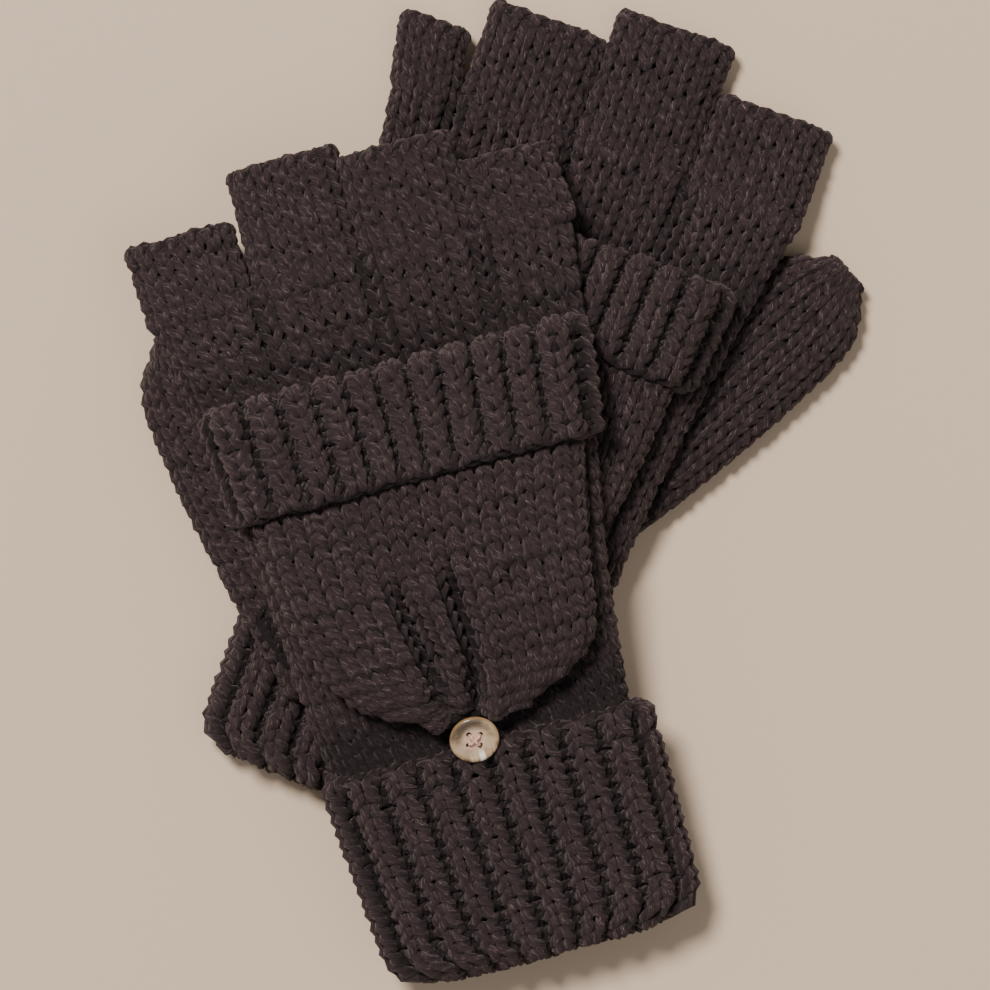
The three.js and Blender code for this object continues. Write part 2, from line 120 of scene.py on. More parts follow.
# Hand and fingers
FINGERS = ("index", "middle", "ring", "little")
STUB_SWELL = 0.7  # the finger tubes are this much fuller than the CAD, so that they press together
STUB_REACH = 1.2  # how much further the finger tubes reach
STUB_BLEND = 12.0  # the hand rises to the finger tubes over this length
STUB_FOOT = 6.0  # the length at a finger's root that shows how wide it is
EDGE_DROP = 0.42  # how much flatter a finger tube is at its edges
VALLEY = (3.6, 2.8, 32.0)  # depth, half width and length of the valleys that run down from the fingers
VALLEY_PAINTED_SHADE = 0.55  # how much of a valley's depth counts towards its painted shade
SEAM_PAINTED_SHADE = (-1.1, 6.0)  # painted shade next to the rim, darker on the hand beside the seam: by how much, and how far
HOOD_PAINTED_SHADOW = (-2.2, 9.0)  # painted shadow of the hood, darker on the hand below its tip: by how much, and how far

# Seam of the hood
SEAM_STITCHES = 20
SEAM_YARN = 0.95
SEAM_LIFT = 1.3  # over the hand
SEAM_TUCK = 1.5  # it lies this much further under the hood
SEAM_SPAN = (0.045, 0.455)  # where it starts and ends round the hand

# Cuff and rim
STUB_EDGE = (1.0, 0.4)  # the cast-off chain's place along a finger tube, and how far beyond it
FOLD_EDGE = (0.0, -0.2)  # the same on a fold
CUFF_CORNER = 7.0  # rounding of the fold's corners
CUFF_ROLL = 4.4  # thickness of the fold
CUFF_DEPTH = 3.4
INNER_CUFF_SINK = 3.4
INNER_CUFF_DEPTH = 4.6
RIM_ROLL = 4.2
RIM_WALL = 0.6
RIM_TRIM = {"left": (8.0, 0.0), "right": (2.0, 4.5)}  # knitting left off the band: inner, outer edge
RIM_WRAP = 3  # the rim reaches this many samples round each edge of the hood
THUMB_END = {"reach": 2.4, "narrow": 0.35}
HOOD_END = {"reach": 2.6, "narrow": 0.25}

# The hood's pleats, as (across, along) from its tip in shares of its length, with their depths and
# widths, and the tuck that runs across above them
PLEAT_PAINTED_SHADE = 0.45  # how much of a pleat's depth counts towards its painted shade
PLEATS = [
    ([(-0.155, 0.37), (-0.122, 0.195), (-0.108, 0.05), (-0.085, -0.02)], 6.0, 0.029),
    ([(0.0, 0.39), (0.01, 0.19), (-0.01, 0.05), (-0.03, -0.02)], 6.6, 0.029),
    ([(0.172, 0.37), (0.166, 0.31)], 2.6, 0.03),
]
PLEAT_SWELL = (0.3, 1.9)  # the fabric swells beside a pleat: by this share of its depth, this far away
HOOD_CROWN = 2.2
TUCK_DEPTH = 1.6

# Button
BUTTON_STEPS = 72
# From the middle of its back round the rim to the middle of the dish, in radii and half thicknesses
BUTTON_PROFILE = [
    (0.0, -1.0), (0.55, -1.0), (0.8, -0.86), (0.93, -0.5), (0.99, -0.05), (1.0, 0.25), (0.985, 0.6),
    (0.94, 0.87), (0.87, 1.0), (0.8, 0.98), (0.73, 0.84), (0.66, 0.62), (0.58, 0.48), (0.4, 0.44),
    (0.0, 0.43),
]
HOLE_OFFSET = 2.3  # from the button's middle to a hole's
HOLE_RADIUS = 0.8
HOLE_SIDES = 20
HOLE_TURN = math.pi / 6
DRILL_LENGTH = 6.0
CREASE = math.radians(38)
BAR_POINTS = 14
BAR_THREAD = 0.5
BAR_LIFT = (0.45, 0.3)  # the first bar over the dish, and the second over the first
BAR_INSET = 0.45
BAR_DIVE = (3.2, 0.68)  # a bar dives into its holes: how steeply, and from which share of its length

rng = np.random.default_rng(7)


# ---------- frames and sections ----------


def node_triangles(name):
    """A CAD node's triangles, (n, 3, 3), in millimetres."""
    mesh = frame["nodes"][name].data
    mesh.calc_loop_triangles()
    places = np.empty(len(mesh.vertices) * 3, np.float32)
    mesh.vertices.foreach_get("co", places)
    corners = np.empty(len(mesh.loop_triangles) * 3, np.int32)
    mesh.loop_triangles.foreach_get("vertices", corners)
    return places.reshape(-1, 3)[corners].reshape(-1, 3, 3).astype(float) / MM


class Axes:
    """A mitten's or thumb's own axes: x across, y along, z up. x runs from the thumb's side."""

    def __init__(self, along, origin, mirror):
        self.y = np.array([along[0], along[1], 0.0]) / math.hypot(along[0], along[1])
        self.x = mirror * np.array([self.y[1], -self.y[0], 0.0])
        self.z = np.array([0.0, 0.0, 1.0])
        self.origin = np.array([origin[0], origin[1], 0.0])
        self.mirror = mirror

    def into(self, points):
        return (points - self.origin) @ np.stack([self.x, self.y, self.z]).T

    def out(self, points):
        return points @ np.stack([self.x, self.y, self.z]) + self.origin


def mitten_axes(side):
    across = -np.array(JOINTS[f"{side}_hood_flip"]["axis"])
    along = np.array([-across[1], across[0]])
    points = node_triangles(f"{side}_cuff_turnback").reshape(-1, 3)
    reach = points[:, :2] @ along
    low = points[reach < reach.min() + 2]
    sideways = low[:, :2] @ across[:2]
    middle = across[:2] * (sideways.min() + sideways.max()) / 2 + along * reach.min()
    return Axes(along, middle, 1 if side == "right" else -1)


def thumb_axes(side, mirror):
    points = node_triangles(f"{side}_thumb_sleeve").reshape(-1, 3)[:, :2]
    root = np.array(JOINTS[f"{side}_thumb_swing"]["pos_m"][:2]) / MM
    along = np.linalg.svd(points - points.mean(axis=0), full_matrices=False)[2][0]
    if (points.mean(axis=0) - root) @ along < 0:
        along = -along
    return Axes(along, root, mirror)


def section(triangles, y):
    """The outer loop of a section across a tube, as (x, z) points in order."""
    height = triangles[:, :, 1] - y
    cross = triangles[(height.min(axis=1) < 0) & (height.max(axis=1) > 0)]
    links = {}
    spots = {}
    for corner in cross:
        ends = []
        for a, b in ((0, 1), (1, 2), (2, 0)):
            ya, yb = corner[a, 1] - y, corner[b, 1] - y
            if ya * yb < 0:
                spot = corner[a] + (corner[b] - corner[a]) * (ya / (ya - yb))
                key = (round(spot[0] * 200), round(spot[2] * 200))
                spots[key] = spot[[0, 2]]
                ends.append(key)
        if len(ends) == 2 and ends[0] != ends[1]:
            links.setdefault(ends[0], []).append(ends[1])
            links.setdefault(ends[1], []).append(ends[0])
    best, longest = None, 0
    seen = set()
    for start in links:
        if start in seen:
            continue
        chain, here, last = [start], start, None
        seen.add(start)
        while True:
            onward = [key for key in links[here] if key != last and key not in seen]
            if not onward:
                break
            last, here = here, onward[0]
            seen.add(here)
            chain.append(here)
        loop = np.array([spots[key] for key in chain])
        length = np.linalg.norm(np.roll(loop, -1, axis=0) - loop, axis=1).sum()
        if length > longest:
            best, longest = loop, length
    return best


def evened(loop, count=AROUND):
    """A loop resampled at even steps, from its thumb-side edge over the top."""
    area = np.sum(loop[:, 0] * np.roll(loop[:, 1], -1) - np.roll(loop[:, 0], -1) * loop[:, 1])
    if area > 0:
        loop = loop[::-1]
    loop = np.roll(loop, -int(np.argmin(loop[:, 0])), axis=0)
    closed = np.vstack([loop, loop[:1]])
    run = np.concatenate([[0], np.cumsum(np.linalg.norm(np.diff(closed, axis=0), axis=1))])
    at = np.linspace(0, run[-1], count, endpoint=False)
    return np.stack([np.interp(at, run, closed[:, k]) for k in (0, 1)], axis=1)


def weights_of(width):
    reach = int(3 * width) + 1
    weights = np.exp(-0.5 * (np.arange(-reach, reach + 1) / width) ** 2)
    return weights / weights.sum(), reach


def eased(grid, around, along):
    """A grid of points smoothed by these widths, round the tube and along it."""
    weights, reach = weights_of(around)
    grid = np.sum([np.roll(grid, k - reach, axis=1) * w for k, w in enumerate(weights)], axis=0)
    weights, reach = weights_of(along)
    before = 2 * grid[:1] - grid[reach:0:-1]
    after = 2 * grid[-1:] - grid[-2 : -reach - 2 : -1]
    long = np.concatenate([before, grid, after])
    return np.sum([long[k : k + len(grid)] * w for k, w in enumerate(weights)], axis=0)


class Fabric:
    """A smooth surface of knitting: a grid of points, rows along it and columns round it."""

    def __init__(self, grid, closed=True):
        self.grid = grid
        self.closed = closed
        self.normals = self.find_normals()
        self.painted_shade = np.zeros(grid.shape[:2])  # painted shade: how much deeper than it lies each point is shaded

    def find_normals(self):
        along = np.gradient(self.grid, axis=0)
        if self.closed:
            around = np.roll(self.grid, -1, axis=1) - np.roll(self.grid, 1, axis=1)
        else:
            around = np.gradient(self.grid, axis=1)
        normal = np.cross(around, along)
        normal /= np.linalg.norm(normal, axis=2, keepdims=True) + 1e-9
        top = self.grid.shape[1] // 4 if self.closed else self.grid.shape[1] // 2
        return normal if normal[len(normal) // 2, top, 2] > 0 else -normal

    def sample(self, field, u, v, held):
        """A field at shares u round and v along. Past the ends it is held, or runs on straight."""
        rows, columns = self.grid.shape[:2]
        b = np.asarray(v) * (rows - 1)
        j = np.clip(np.floor(b).astype(int), 0, rows - 2)
        h = (b - j)[..., None]
        if held:
            h = np.clip(h, 0, 1)
        if self.closed:
            a = (np.asarray(u) % 1.0) * columns
            i = np.floor(a).astype(int) % columns
            i2 = (i + 1) % columns
            f = (a - np.floor(a))[..., None]
        else:
            a = np.asarray(u) * (columns - 1)
            i = np.clip(np.floor(a).astype(int), 0, columns - 2)
            i2 = i + 1
            f = (a - i)[..., None]
        near = field[j, i] * (1 - f) + field[j, i2] * f
        far = field[j + 1, i] * (1 - f) + field[j + 1, i2] * f
        return near * (1 - h) + far * h

    def at(self, u, v, out=0.0):
        """Points raised by out."""
        return self.sample(self.grid, u, v, False) + self.outward(u, v) * np.asarray(out)[..., None]

    def outward(self, u, v):
        return self.sample(self.normals, u, v, True)

    # The fabric's painted shade at shares u round and v along
    def shade(self, u, v):
        return self.sample(self.painted_shade[..., None], u, v, True)[..., 0]

    def girth(self):
        edges = np.diff(self.grid, axis=1)
        length = np.linalg.norm(edges, axis=2).sum(axis=1)
        if self.closed:
            length += np.linalg.norm(self.grid[:, 0] - self.grid[:, -1], axis=1)
        return float(np.median(length))

    def length(self):
        return float(np.median(np.linalg.norm(np.diff(self.grid, axis=0), axis=2).sum(axis=0)))

    def raised(self, out):
        """The surface moved out along its normals."""
        return Fabric(self.grid + self.normals * np.asarray(out)[..., None], self.closed)

    def part(self, first, last):
        """The surface between two shares of its length."""
        rows = np.linspace(first, last, max(4, int(len(self.grid) * abs(last - first)) + 1))
        u = np.arange(self.grid.shape[1]) / (self.grid.shape[1] - (0 if self.closed else 1))
        uu, vv = np.meshgrid(u, rows)
        return Fabric(self.at(uu, vv), self.closed)


def tube_grid(node, axes, short=END_GAP):
    """The outer surface of a CAD tube in its own axes, which stops short of its far end."""
    triangles = axes.into(node_triangles(node))
    far = triangles[:, :, 1].max()
    low, high = triangles[:, :, 1].min() + END_GAP, far - short
    places = np.linspace(low, high, max(FEWEST_STATIONS, int((high - low) / STATION) + 1))
    inside = np.clip(places, low, far - abs(short))
    loops = [section(triangles, y) for y in inside]
    girths = [np.linalg.norm(np.roll(loop, -1, axis=0) - loop, axis=1).sum() for loop in loops]
    # Where a hole opens the wall, the section runs inside too, so its neighbours stand for it.
    whole = [k for k, girth in enumerate(girths) if girth < HOLE_GIRTH * np.median(girths)]
    rounds = np.array([evened(loops[k]) for k in whole])
    grid = np.empty((len(places), AROUND, 3))
    grid[:, :, 1] = places[:, None]
    for i in range(AROUND):
        grid[:, i, 0] = np.interp(places, places[whole], rounds[:, i, 0])
        grid[:, i, 2] = np.interp(places, places[whole], rounds[:, i, 1])
    return eased(grid, EASE_AROUND, min(EASE_ALONG, len(places) / 12))


def spread_out(node, grid):
    """The grid of a tube with its edges and its last row moved out, each by its own amount."""
    first, second, end = SPREAD_OUT.get(node, (0.0, 0.0, 0.0))
    grid = grid.copy()
    low, high = grid[:, :, 0].min(axis=1, keepdims=True), grid[:, :, 0].max(axis=1, keepdims=True)
    share = (grid[:, :, 0] - low) / (high - low)
    grid[:, :, 0] += second * share - first * (1 - share)
    start, stop = grid[0, 0, 1], grid[-1, 0, 1]
    grid[:, :, 1] += end * np.sign(stop - start) * (grid[:, :, 1] - start) / (stop - start)
    return grid


def rounded_end(grid, reach, narrow, rows=4):
    """Closes the high end of a grid: top and bottom come together over this reach."""
    last = grid[-1]
    mirror = last[(-np.arange(AROUND)) % AROUND]
    middle = (last + mirror) / 2
    centre = (last[:, 0].min() + last[:, 0].max()) / 2
    extra = []
    for k in range(1, rows + 1):
        angle = math.pi / 2 * k / rows
        row = middle + (last - middle) * max(math.cos(angle), 0.04)
        row[:, 0] = centre + (row[:, 0] - centre) * (1 - narrow * (1 - math.cos(angle)))
        row[:, 1] = last[:, 1] + reach * math.sin(angle)
        extra.append(row)
    return np.concatenate([grid, extra])


def rolled(fabric, thick, rows=5):
    """Adds rows past the far end that roll inwards round a fold of this thickness."""
    last, normal = fabric.grid[-1], fabric.normals[-1]
    onward = fabric.grid[-1] - fabric.grid[-2]
    onward /= np.linalg.norm(onward, axis=1, keepdims=True)
    radius = thick / 2
    extra = []
    for k in range(1, rows + 1):
        angle = math.pi * k / rows
        inward = normal * radius * (1 - math.cos(angle))
        extra.append(last + onward * radius * math.sin(angle) - inward)
    return Fabric(np.concatenate([fabric.grid, extra]), fabric.closed)


# ---------- knitting ----------


def uneven(amount, wales):
    """A factor for each stitch, repeated for its points."""
    return (1 + amount * rng.standard_normal(wales)).repeat(STITCH_STEPS)


def stitch_path(wales, rib):
    """One row of loops: across, along and out, in stitch widths, rows and mm, and its painted shade."""
    steps = np.arange(wales * STITCH_STEPS) / STITCH_STEPS
    t = steps % 1.0
    lean = LOOP_LEAN * uneven(UNEVEN_LEAN, wales)
    tall = LOOP_HEIGHT * uneven(UNEVEN_HEIGHT, wales)
    across = steps + lean * np.sin(4 * np.pi * t)
    along = -tall / 2 * np.cos(2 * np.pi * t)
    out = -LOOP_DEPTH * np.cos(4 * np.pi * t)
    if rib:
        face = np.where(np.floor(steps).astype(int) % 2 == 0, 1.0, -1.0)
        between = (t < TURN_OVER) | (t > 1 - TURN_OVER)
        out = np.where(between, 0.0, out) * face + RIB_RELIEF * np.cos(np.pi * (across - 0.5))
        across = across - RIB_SPREAD * np.cos(np.pi * across)
        deep, wide = RIB_PAINTED_SHADE
        away = np.abs((across - 0.5) % 2.0 - 1.0)
    else:
        out = out - WALE_RELIEF * np.cos(2 * np.pi * across)
        deep, wide = WALE_PAINTED_SHADE
        away = np.abs((across + 0.5) % 1.0 - 0.5)
    # The painted shade is darkest between two columns, and in the middle of a rib's sunken column.
    return across, along, out, -deep * np.exp(-((away / wide) ** 2))


class Yarn:
    """A run of yarn: its points, how far each lies out of the fabric, lowered by its painted shade, and which way
    is out.
    """

    def __init__(self, points, lift, outward):
        self.points = points
        self.lift = lift
        self.outward = outward


def laid(fabric, u, v, out, shade=0.0):
    """A run of yarn laid on a fabric. Its lift is lowered by the stitch's and the fabric's painted shade."""
    return Yarn(fabric.at(u, v, out), out + shade + fabric.shade(u, v), fabric.outward(u, v))


def knit_rows(fabric, wales, rows, rib=False, sink=None, first=0):
    """The yarn of every row. A row before 0 or past the last lies off the fabric's end."""
    sink = (RIB_SINK if rib else SINK) if sink is None else sink
    wave, often, shift = ROW_WAVE
    yarns = []
    for row in range(first, rows):
        across, along, out, shade = stitch_path(wales, rib)
        if not fabric.closed:
            across = np.clip(across, 0.0, wales)
        u = across / wales
        drift = wave * np.sin(2 * np.pi * (u * often + row * shift)) + UNEVEN_ROW * rng.standard_normal()
        v = (row + 0.5 + along + drift) / rows
        yarns.append(laid(fabric, u, v, out - sink + UNEVEN_DEPTH * rng.standard_normal(len(out)), shade))
    return yarns


def bound_edge(fabric, wales, v, beyond, rise=1.25, swell=1.15, u_span=(0.0, 1.0)):
    """The cast-off chain along an end: a coil with one turn for each stitch."""
    t = np.arange(wales * STITCH_STEPS) / STITCH_STEPS
    wobble = uneven(0.15, wales)
    u = u_span[0] + (u_span[1] - u_span[0]) * (t + 0.22 * np.sin(4 * np.pi * t)) / wales
    along = v + (beyond + rise * wobble * np.cos(2 * np.pi * t)) / fabric.length()
    return [laid(fabric, u, along, -SINK + swell * np.sin(2 * np.pi * t))]


# ---------- meshes ----------


def link(name, mesh):
    piece = bpy.data.objects.new(name, mesh)
    bpy.context.scene.collection.objects.link(piece)
    return piece


def new_mesh(name, points, faces=(), edges=()):
    mesh = bpy.data.meshes.new(name)
    mesh.from_pydata([tuple(p) for p in np.asarray(points) * MM], edges, faces)
    mesh.update()
    return mesh


def store(mesh, name, kind, values):
    attribute = mesh.attributes.new(name, kind, "POINT")
    key = "value" if kind == "FLOAT" else "vector"
    attribute.data.foreach_set(key, np.asarray(values, np.float32).ravel())


def read(mesh, name, width=3):
    """A point attribute's values, one row for each point."""
    values = np.empty(len(mesh.vertices) * width, np.float32)
    mesh.attributes[name].data.foreach_get("vector" if width == 3 else "value", values)
    return values.reshape(-1, width).astype(float)


def smooth_faces(mesh):
    mesh.polygons.foreach_set("use_smooth", [True] * len(mesh.polygons))


def yarn_tree():
    """Geometry nodes that turn rows of points into yarn, with places along and round it."""
    tree = bpy.data.node_groups.new("spun_yarn", "GeometryNodeTree")
    face = tree.interface
    face.new_socket("Rows", in_out="INPUT", socket_type="NodeSocketGeometry")
    radius = face.new_socket("Radius", in_out="INPUT", socket_type="NodeSocketFloat")
    sides = face.new_socket("Sides", in_out="INPUT", socket_type="NodeSocketInt")
    finish = face.new_socket("Finish", in_out="INPUT", socket_type="NodeSocketMaterial")
    face.new_socket("Yarn", in_out="OUTPUT", socket_type="NodeSocketGeometry")
    nodes, links = tree.nodes, tree.links

    def node(kind, **settings):
        made = nodes.new(kind)
        for key, value in settings.items():
            setattr(made, key, value)
        return made

    start = node("NodeGroupInput")
    end = node("NodeGroupOutput")
    curve = node("GeometryNodeMeshToCurve")
    place = node("GeometryNodeSplineParameter")
    along = node("GeometryNodeStoreNamedAttribute", data_type="FLOAT", domain="POINT")
    along.inputs["Name"].default_value = "along"
    ring = node("GeometryNodeCurvePrimitiveCircle", mode="RADIUS")
    spot = node("GeometryNodeInputPosition")
    unit = node("ShaderNodeVectorMath", operation="NORMALIZE")
    around = node("GeometryNodeStoreNamedAttribute", data_type="FLOAT_VECTOR", domain="POINT")
    around.inputs["Name"].default_value = "around"
    sweep = node("GeometryNodeCurveToMesh")
    sweep.inputs["Fill Caps"].default_value = True
    shade = node("GeometryNodeSetShadeSmooth")
    real = node("GeometryNodeRealizeInstances")
    dress = node("GeometryNodeSetMaterial")
    pairs = [
        (start.outputs["Rows"], curve.inputs["Mesh"]),
        (curve.outputs["Curve"], along.inputs["Geometry"]),
        (place.outputs["Length"], along.inputs["Value"]),
        (start.outputs["Radius"], ring.inputs["Radius"]),
        (start.outputs["Sides"], ring.inputs["Resolution"]),
        (ring.outputs["Curve"], around.inputs["Geometry"]),
        (spot.outputs["Position"], unit.inputs[0]),
        (unit.outputs["Vector"], around.inputs["Value"]),
        (along.outputs["Geometry"], sweep.inputs["Curve"]),
        (around.outputs["Geometry"], sweep.inputs["Profile Curve"]),
        (sweep.outputs["Mesh"], shade.inputs["Geometry"]),
        (shade.outputs["Geometry"], real.inputs["Geometry"]),
        (real.outputs["Geometry"], dress.inputs["Geometry"]),
        (start.outputs["Finish"], dress.inputs["Material"]),
        (dress.outputs["Geometry"], end.inputs["Yarn"]),
    ]
    for a, b in pairs:
        links.new(a, b)
    return tree, {"radius": radius.identifier, "sides": sides.identifier, "finish": finish.identifier}


YARN_TREE, YARN_INPUTS = yarn_tree()


def finished(piece, name):
    """The evaluated shape of a piece as a plain mesh on a new object."""
    depsgraph = bpy.context.evaluated_depsgraph_get()
    mesh = bpy.data.meshes.new_from_object(piece.evaluated_get(depsgraph))
    mesh.name = name
    bpy.data.objects.remove(piece)
    return link(name, mesh)


def spun(name, yarns, material, radius=YARN, sides=YARN_FACES, closed=True):
    """One mesh of yarn that follows runs of points. Its "height" is how far it stands out, lowered by the painted
    shade.
    """
    points = np.concatenate([yarn.points for yarn in yarns])
    edges = []
    start = 0
    for yarn in yarns:
        count = len(yarn.points)
        edges += [(start + k, start + k + 1) for k in range(count - 1)]
        if closed:
            edges.append((start + count - 1, start))
        start += count
    mesh = new_mesh(name, points, edges=edges)
    store(mesh, "middle", "FLOAT_VECTOR", points * MM)
    store(mesh, "outward", "FLOAT_VECTOR", np.concatenate([yarn.outward for yarn in yarns]))
    store(mesh, "height", "FLOAT", np.concatenate([yarn.lift for yarn in yarns]))
    piece = link(name + "_rows", mesh)
    modifier = piece.modifiers.new("yarn", "NODES")
    modifier.node_group = YARN_TREE
    modifier[YARN_INPUTS["radius"]] = radius * MM
    modifier[YARN_INPUTS["sides"]] = sides
    modifier[YARN_INPUTS["finish"]] = material
    piece = finished(piece, name)
    mesh = piece.data
    stand = np.sum((read(mesh, "position") - read(mesh, "middle")) * read(mesh, "outward"), axis=1)
    height = read(mesh, "height", 1)[:, 0] + stand / MM
    mesh.attributes["height"].data.foreach_set("value", height.astype(np.float32))
    for spare in ("middle", "outward"):
        mesh.attributes.remove(mesh.attributes[spare])
    pressed(mesh)
    return piece


def pressed(mesh):
    """Flattens what would hang below the table."""
    spots = read(mesh, "position")
    low = spots[:, 2] < 0
    spots[low, 2] = PRESS * (np.exp(spots[low, 2] / PRESS) - 1)
    mesh.vertices.foreach_set("co", spots.astype(np.float32).ravel())
    mesh.update()


def shell(name, fabric, material, depth, thick):
    """A closed wall under the yarn: its outer face lies depth below the fabric."""
    rows, columns = fabric.grid.shape[:2]
    outer = fabric.grid - fabric.normals * depth
    inner = fabric.grid - fabric.normals * (depth + thick)
    points = np.concatenate([outer.reshape(-1, 3), inner.reshape(-1, 3)])
    half = rows * columns
    faces = []
    spans = columns if fabric.closed else columns - 1
    for j in range(rows - 1):
        for i in range(spans):
            i2 = (i + 1) % columns
            a, b = j * columns + i, j * columns + i2
            c, d = b + columns, a + columns
            faces.append((a, b, c, d))
            faces.append((half + a, half + d, half + c, half + b))
    for j in (0, rows - 1):
        for i in range(spans):
            i2 = (i + 1) % columns
            a, b = j * columns + i, j * columns + i2
            faces.append((a, half + a, half + b, b) if j == 0 else (a, b, half + b, half + a))
    if not fabric.closed:
        for i in (0, columns - 1):
            for j in range(rows - 1):
                a, d = j * columns + i, (j + 1) * columns + i
                faces.append((a, d, half + d, half + a) if i == 0 else (a, half + a, half + d, d))
    mesh = new_mesh(name, points, faces)
    smooth_faces(mesh)
    mesh.materials.append(material)
    return outward(link(name, mesh))


def outward(piece):
    """Faces turned so that they point out of the closed shape."""
    mesh = piece.data
    volume = 0.0
    mesh.calc_loop_triangles()
    for triangle in mesh.loop_triangles:
        a, b, c = (mesh.vertices[k].co for k in triangle.vertices)
        volume += a.dot(b.cross(c))
    if volume < 0:
        mesh.flip_normals()
    return piece


# ---------- finishes ----------


class Value:
    """A number in a shader: Python arithmetic on it adds Math nodes."""

    def __init__(self, shader, socket):
        self.shader = shader
        self.socket = socket

    def maths(self, operation, *inputs):
        return self.shader.node("ShaderNodeMath", {"operation": operation}, dict(enumerate(inputs)))

    def __add__(self, other):
        return self.maths("ADD", self, other)

    def __sub__(self, other):
        return self.maths("SUBTRACT", self, other)

    def __rsub__(self, other):
        return self.maths("SUBTRACT", other, self)

    def __mul__(self, other):
        return self.maths("MULTIPLY", self, other)

    def __truediv__(self, other):
        return self.maths("DIVIDE", self, other)

    def __rtruediv__(self, other):
        return self.maths("DIVIDE", other, self)

    def __pow__(self, other):
        return self.maths("POWER", self, other)

    def __rpow__(self, other):
        return self.maths("POWER", other, self)

    __radd__ = __add__
    __rmul__ = __mul__

    def sine(self):
        return self.maths("SINE", self)

    def between(self, low, high):
        """0 below low and 1 above high, with a smooth step between them."""
        inputs = {"Value": self, "From Min": low, "From Max": high}
        return self.shader.node("ShaderNodeMapRange", {"interpolation_type": "SMOOTHSTEP"}, inputs)


class Shader:
    """A material whose nodes are made by one method."""

    def __init__(self, name):
        self.material = bpy.data.materials.new(name)
        self.material.use_nodes = True
        self.tree = self.material.node_tree
        self.surface = self.tree.nodes["Principled BSDF"]

    def node(self, kind, settings=None, inputs=None, output=0):
        made = self.tree.nodes.new(kind)
        for key, value in (settings or {}).items():
            setattr(made, key, value)
        self.feed(made, inputs or {})
        return Value(self, made.outputs[output])

    def feed(self, made, inputs):
        for key, value in inputs.items():
            if isinstance(value, Value):
                self.tree.links.new(value.socket, made.inputs[key])
            else:
                made.inputs[key].default_value = value

    def attribute(self, name, output="Vector"):
        made = self.tree.nodes.new("ShaderNodeAttribute")
        made.attribute_name = name
        return Value(self, made.outputs[output])

    def parts(self, vector):
        split = self.tree.nodes.new("ShaderNodeSeparateXYZ")
        self.feed(split, {0: vector})
        return [Value(self, split.outputs[k]) for k in range(3)]

    def vector(self, x, y, z):
        return self.node("ShaderNodeCombineXYZ", None, {0: x, 1: y, 2: z})

    def noise(self, vector, scale, detail=2.0, rough=0.5):
        inputs = {"Vector": vector, "Scale": scale, "Detail": detail, "Roughness": rough}
        return self.node("ShaderNodeTexNoise", None, inputs)

    def mix(self, factor, a, b):
        made = self.tree.nodes.new("ShaderNodeMix")
        made.data_type = "RGBA"
        self.feed(made, {"Factor": factor, 6: a, 7: b})
        return Value(self, made.outputs[2])

    def bump(self, height, distance, strength=1.0):
        inputs = {"Height": height, "Distance": distance, "Strength": strength}
        return self.node("ShaderNodeBump", None, inputs)

    def finish(self, **sockets):
        """Sets the surface's sockets, which are named in lower case with underscores."""
        names = {name.lower().replace(" ", "_"): name for name in self.surface.inputs.keys()}
        self.feed(self.surface, {names[key]: value for key, value in sockets.items()})
        return self.material


def place_in_object(shader):
    made = shader.tree.nodes.new("ShaderNodeTexCoord")
    return Value(shader, made.outputs["Object"])


def wool(name, dark, middle, light, depth, plies=3.0, pitch=11.0):
    """Plied, heathered yarn: plies that wind round it, fine fibres along them, and a soft sheen. Where it lies low
    it is painted darker: painted shade in the crevices.
    """
    s = Shader(name)
    x, y, _ = s.parts(s.attribute("around"))
    along = s.attribute("along", "Fac") / MM
    turn = y.maths("ARCTAN2", y, x)
    twist = turn + along * (2 * math.pi / pitch)
    ply = (twist * plies).sine() * 0.5 + 0.5
    around_x, around_y = (twist + math.pi / 2).sine(), twist.sine()
    fibres = s.noise(s.vector(around_x * 4.5, around_y * 4.5, along * 0.55), 1.0, 3.0, 0.7)
    hairs = s.noise(s.vector(around_x * 9.0, around_y * 9.0, along * 0.7 + 40.0), 1.0, 2.0, 0.6)
    place = place_in_object(s)
    drift = s.noise(place, 60.0, 2.0, 0.5)
    tone = s.mix(fibres.between(0.38, 0.64), dark, middle)
    tone = s.mix(hairs.between(0.56, 0.74) * ply.between(0.05, 0.8), tone, light)
    tone = s.mix(drift.between(0.35, 0.75) * 0.3, tone, dark)
    # Painted shade: the lower the yarn lies, the nearer its colour comes to the darkest painted shade.
    stand = s.attribute("height", "Fac").between(*depth) ** 1.5
    tone = s.mix(stand, DARKEST_PAINTED_SHADE, tone)
    height = ply.between(0.0, 0.7) * 1.2 + fibres * 0.9
    return s.finish(
        base_color=tone,
        roughness=fibres * 0.2 + 0.72,
        normal=s.bump(height, 0.34 * MM, 1.0),
        sheen_weight=0.2,
        sheen_roughness=0.5,
        sheen_tint=(0.64, 0.49, 0.49, 1),
        specular_ior_level=0.25,
    )


def lining(name, dark, light):
    """Painted shade: the back of the knitting, seen between the yarns, painted dark."""
    s = Shader(name)
    place = place_in_object(s)
    grain = s.noise(place, 700.0, 3.0, 0.6)
    clumps = s.noise(place, 160.0, 2.0, 0.5)
    tone = s.mix(grain * 0.5 + clumps * 0.3, dark, light)
    normal = s.bump(grain * 0.6 + clumps, 0.5 * MM, 0.8)
    return s.finish(base_color=tone, roughness=clumps * 0.1 + 0.88, normal=normal, specular_ior_level=0.1)


